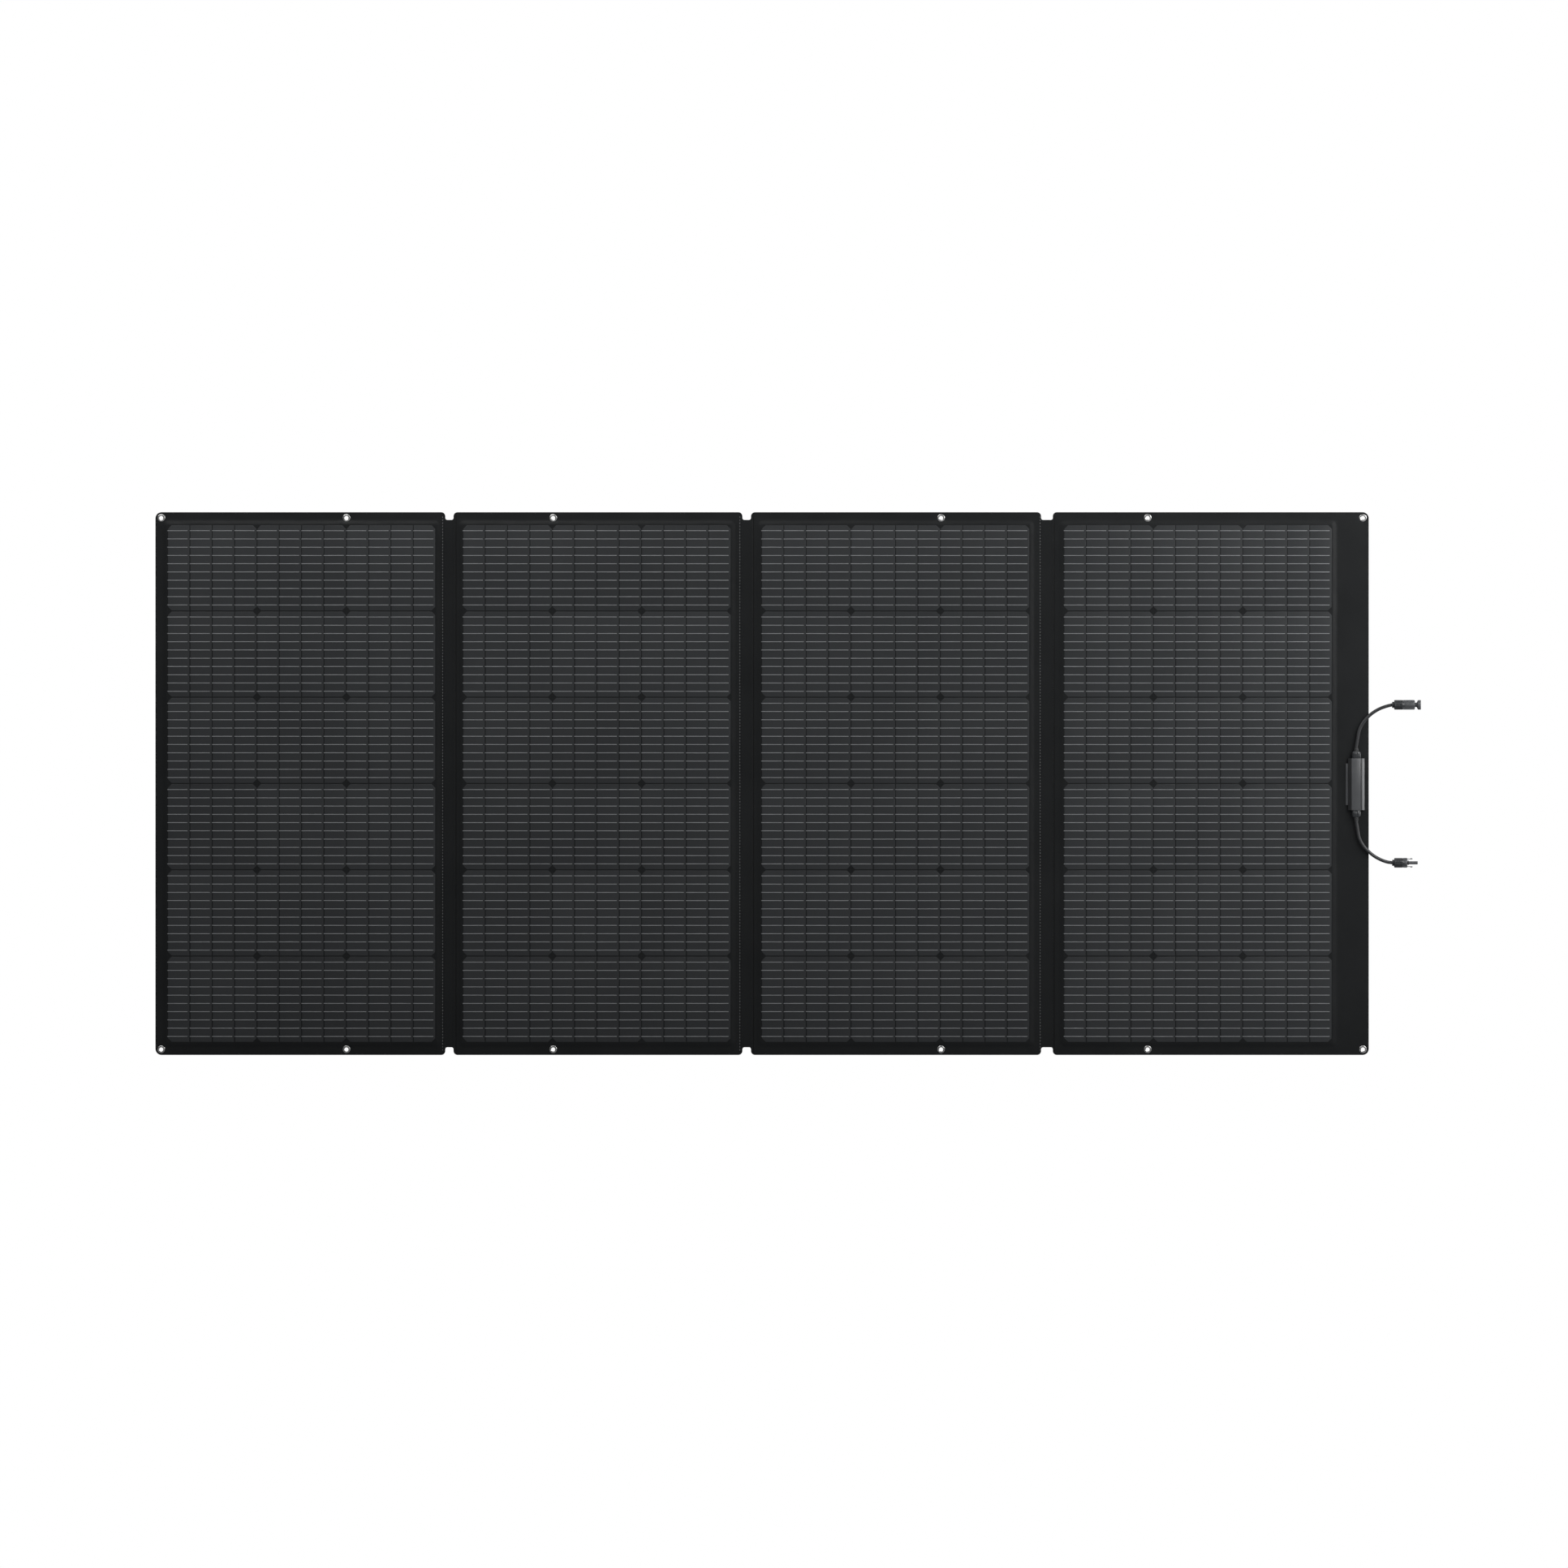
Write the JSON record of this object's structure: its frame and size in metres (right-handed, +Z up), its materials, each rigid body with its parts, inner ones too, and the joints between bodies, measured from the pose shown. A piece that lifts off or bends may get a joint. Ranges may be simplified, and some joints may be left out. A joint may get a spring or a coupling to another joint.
{
  "type": "folding solar sheet",
  "caption": "Wide black folding solar sheet: rigid cell panels joined by cloth folds, metal eyelets along its edges, and a cable box with two plug leads at the right.",
  "frame": {"origin": "centre of the unfolded sheet and of the four corner eyelets, half way through the sheet's thickness", "axes": "+Z up along the sheet's height, +X to the right along its length towards the cable box, the solar face looks along -Y and the back along +Y"},
  "size_m": [2.4667, 0.0189, 1.058],
  "materials": {
    "clear_film": "clear fluoropolymer film with an embossed texture",
    "tinned_ribbon": "dull tinned copper",
    "silicon_cell": "dark monocrystalline silicon under film",
    "black_encapsulant": "black bonding sheet",
    "stiffener_board": "grey fibre-reinforced board",
    "black_cloth": "black coated cloth, fine diamond emboss",
    "nickel_plate": "satin nickel plate",
    "copper_link": "bare copper strip",
    "box_plastic": "fine satin moulded plastic",
    "circuit_board": "solder-masked board",
    "diode_plastic": "moulded case",
    "black_rubber": "black rubber",
    "cable_sheath": "satin black sheath",
    "plug_plastic": "satin black glass-filled plastic",
    "tin_plate": "tin-plated contact"
  },
  "bodies": {
    "panel_4": {"panel_4_front_film": "clear_film", "panel_4_ribbons": "tinned_ribbon", "panel_4_cells": "silicon_cell", "panel_4_encapsulant": "black_encapsulant", "panel_4_stiffener": "stiffener_board", "panel_4_back_cloth": "black_cloth", "panel_4_border": "black_cloth", "panel_4_eyelets": "nickel_plate", "panel_4_eyelet_washers": "nickel_plate", "fold_3_cloth": "black_cloth", "fold_3_links": "copper_link", "cable_box_base": "box_plastic", "cable_box_cover": "box_plastic", "cable_box_board": "circuit_board", "cable_box_diodes": "diode_plastic", "upper_gland_nut": "box_plastic", "upper_gland_boot": "black_rubber", "lower_gland_nut": "box_plastic", "lower_gland_boot": "black_rubber"},
    "panel_3": {"panel_3_front_film": "clear_film", "panel_3_ribbons": "tinned_ribbon", "panel_3_cells": "silicon_cell", "panel_3_encapsulant": "black_encapsulant", "panel_3_stiffener": "stiffener_board", "panel_3_back_cloth": "black_cloth", "panel_3_border": "black_cloth", "panel_3_eyelets": "nickel_plate", "panel_3_eyelet_washers": "nickel_plate", "fold_2_cloth": "black_cloth", "fold_2_links": "copper_link"},
    "panel_2": {"panel_2_front_film": "clear_film", "panel_2_ribbons": "tinned_ribbon", "panel_2_cells": "silicon_cell", "panel_2_encapsulant": "black_encapsulant", "panel_2_stiffener": "stiffener_board", "panel_2_back_cloth": "black_cloth", "panel_2_border": "black_cloth", "panel_2_eyelets": "nickel_plate", "panel_2_eyelet_washers": "nickel_plate", "fold_1_cloth": "black_cloth", "fold_1_links": "copper_link"},
    "panel_1": {"panel_1_front_film": "clear_film", "panel_1_ribbons": "tinned_ribbon", "panel_1_cells": "silicon_cell", "panel_1_encapsulant": "black_encapsulant", "panel_1_stiffener": "stiffener_board", "panel_1_back_cloth": "black_cloth", "panel_1_border": "black_cloth", "panel_1_eyelets": "nickel_plate", "panel_1_eyelet_washers": "nickel_plate"},
    "upper_lead": {"upper_cable": "cable_sheath", "upper_plug_nut": "plug_plastic", "upper_plug_body": "plug_plastic", "upper_plug_contact": "tin_plate"},
    "lower_lead": {"lower_cable": "cable_sheath", "lower_plug_nut": "plug_plastic", "lower_plug_body": "plug_plastic", "lower_plug_contact": "tin_plate", "lower_plug_seal": "black_rubber"}
  },
  "joints": [
    {"name": "fold_3", "type": "hinge", "parent": "panel_4", "child": "panel_3", "pos_m": [0.55525, -0.00945, 0], "axis": [0, 0, 1], "range_deg": [0, 180]},
    {"name": "fold_2", "type": "hinge", "parent": "panel_3", "child": "panel_2", "pos_m": [-0.03, -0.0063, 0], "axis": [0, 0, 1], "range_deg": [0, 180]},
    {"name": "fold_1", "type": "hinge", "parent": "panel_2", "child": "panel_1", "pos_m": [-0.60945, -0.00315, 0], "axis": [0, 0, 1], "range_deg": [0, 180]},
    {"name": "upper_lead_swing", "type": "hinge", "parent": "panel_4", "child": "upper_lead", "pos_m": [1.1582, -0.008, 0.0698], "axis": [0, 1, 0], "range_deg": [-20, 20], "stiffness_Nm_per_rad": 1},
    {"name": "lower_lead_swing", "type": "hinge", "parent": "panel_4", "child": "lower_lead", "pos_m": [1.1582, -0.008, -0.0726], "axis": [0, 1, 0], "range_deg": [-20, 20], "stiffness_Nm_per_rad": 1}
  ]
}
